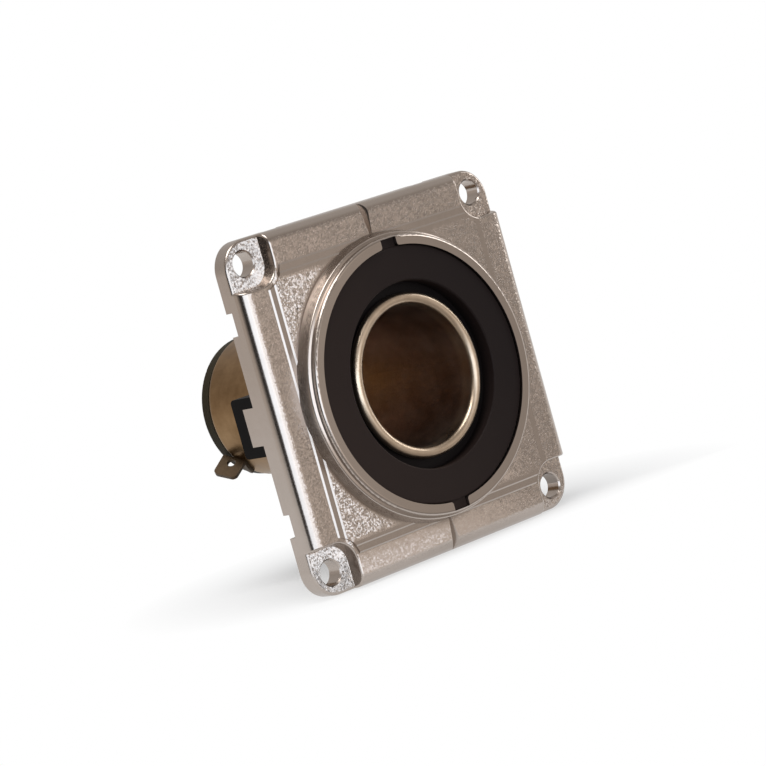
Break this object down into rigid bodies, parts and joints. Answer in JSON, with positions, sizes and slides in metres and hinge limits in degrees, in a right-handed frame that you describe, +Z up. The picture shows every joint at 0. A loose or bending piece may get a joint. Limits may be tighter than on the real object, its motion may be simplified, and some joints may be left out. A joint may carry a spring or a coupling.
{
  "type": "vehicle power socket",
  "caption": "Round 12 V vehicle socket with a rolled metal lip in a black insert, held in a square cast metal frame with corner screw holes and a keyed raised ring.",
  "frame": {"origin": "on the socket's axis, in the rear seating plane of the square frame", "axes": "+X right, +Y rearwards along the socket, +Z up; the socket opens towards -Y"},
  "size_m": [0.0524, 0.048, 0.0524],
  "materials": {
    "cast_frame": "satin nickel plate on a zinc casting, fine grain",
    "black_moulding": "fine matt mould texture",
    "shell_metal": "drawn, thin nickel plate with a warm tone",
    "tag_metal": "stamped, tinned and slightly dull",
    "insulator": "dark pressed laminate",
    "contact_metal": "plain stamped and turned brass"
  },
  "bodies": {
    "root": {"mounting_frame": "cast_frame", "face_insert": "black_moulding", "rear_bridge": "black_moulding", "socket_shell": "shell_metal", "earth_terminal": "tag_metal", "rear_insulator": "insulator", "inner_washer": "insulator", "centre_contact": "contact_metal", "centre_rivet": "contact_metal", "positive_blade": "tag_metal"}
  },
  "joints": []
}
